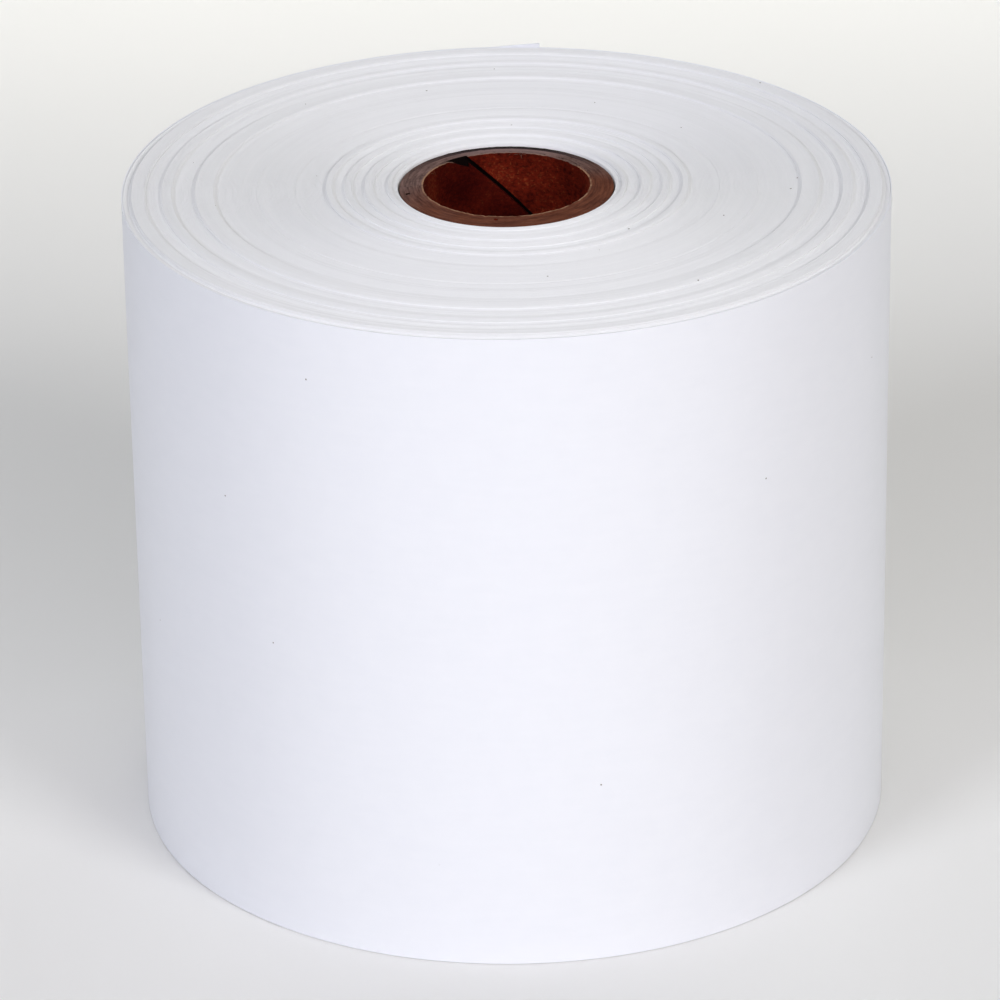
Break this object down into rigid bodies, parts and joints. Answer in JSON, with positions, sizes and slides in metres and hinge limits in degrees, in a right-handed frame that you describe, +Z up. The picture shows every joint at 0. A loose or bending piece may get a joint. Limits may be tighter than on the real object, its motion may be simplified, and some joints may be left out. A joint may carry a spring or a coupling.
{
  "type": "paper roll",
  "caption": "Short roll of plain white paper on a spiral-wound board core, standing on end, with a loose tail that peels away from the roll.",
  "frame": {"origin": "centre of the bottom end, on the surface that the roll stands on", "axes": "+Z up along the roll's axis; +Y towards the back, where the tail ends; +X to the right as seen from the front"},
  "size_m": [0.116, 0.116, 0.1023],
  "materials": {
    "paper_face": "smooth satin white",
    "paper_edge": "cut paper edges, matte",
    "core_board": "brown board, matte",
    "core_liner": "red-brown board, matte, mottled with fibres",
    "start_tape": "double-sided tape, satin"
  },
  "bodies": {
    "roll": {"core_ply_1_liner": "core_liner", "core_ply_2": "core_board", "core_ply_3": "core_board", "core_ply_4": "core_board", "core_ply_5": "core_board", "start_tape": "start_tape", "run_01_core_side": "paper_edge", "run_02": "paper_edge", "run_03": "paper_edge", "run_04": "paper_edge", "run_05": "paper_edge", "run_06": "paper_edge", "run_07": "paper_edge", "run_08": "paper_edge", "run_09": "paper_edge", "run_10": "paper_edge", "run_11": "paper_edge", "run_12": "paper_edge", "run_13": "paper_edge", "run_14": "paper_edge", "run_15": "paper_edge", "run_16": "paper_edge", "run_17_rim_side": "paper_edge", "outer_turn": "paper_face"},
    "tail_1": {"tail_leaf_1": "paper_face"},
    "tail_2": {"tail_leaf_2": "paper_face"},
    "tail_3": {"tail_leaf_3": "paper_face"},
    "tail_4": {"tail_leaf_4": "paper_face"}
  },
  "joints": [
    {"name": "tail_peel", "type": "hinge", "parent": "roll", "child": "tail_1", "pos_m": [-0.04711, 0.03361, 0.0509], "axis": [0, 0, 1], "range_deg": [0, 18], "stiffness_Nm_per_rad": 0.02},
    {"name": "tail_bend_2", "type": "hinge", "parent": "tail_1", "child": "tail_2", "pos_m": [-0.03681, 0.04465, 0.0509], "axis": [0, 0, 1], "range_deg": [0, 18]},
    {"name": "tail_bend_3", "type": "hinge", "parent": "tail_2", "child": "tail_3", "pos_m": [-0.024, 0.05266, 0.0509], "axis": [0, 0, 1], "range_deg": [0, 18]},
    {"name": "tail_bend_4", "type": "hinge", "parent": "tail_3", "child": "tail_4", "pos_m": [-0.00955, 0.05708, 0.0509], "axis": [0, 0, 1], "range_deg": [0, 18]}
  ],
  "couplings": [
    {"joint": "tail_bend_2", "follows": "tail_peel", "ratio": 1},
    {"joint": "tail_bend_3", "follows": "tail_peel", "ratio": 1},
    {"joint": "tail_bend_4", "follows": "tail_peel", "ratio": 1}
  ]
}
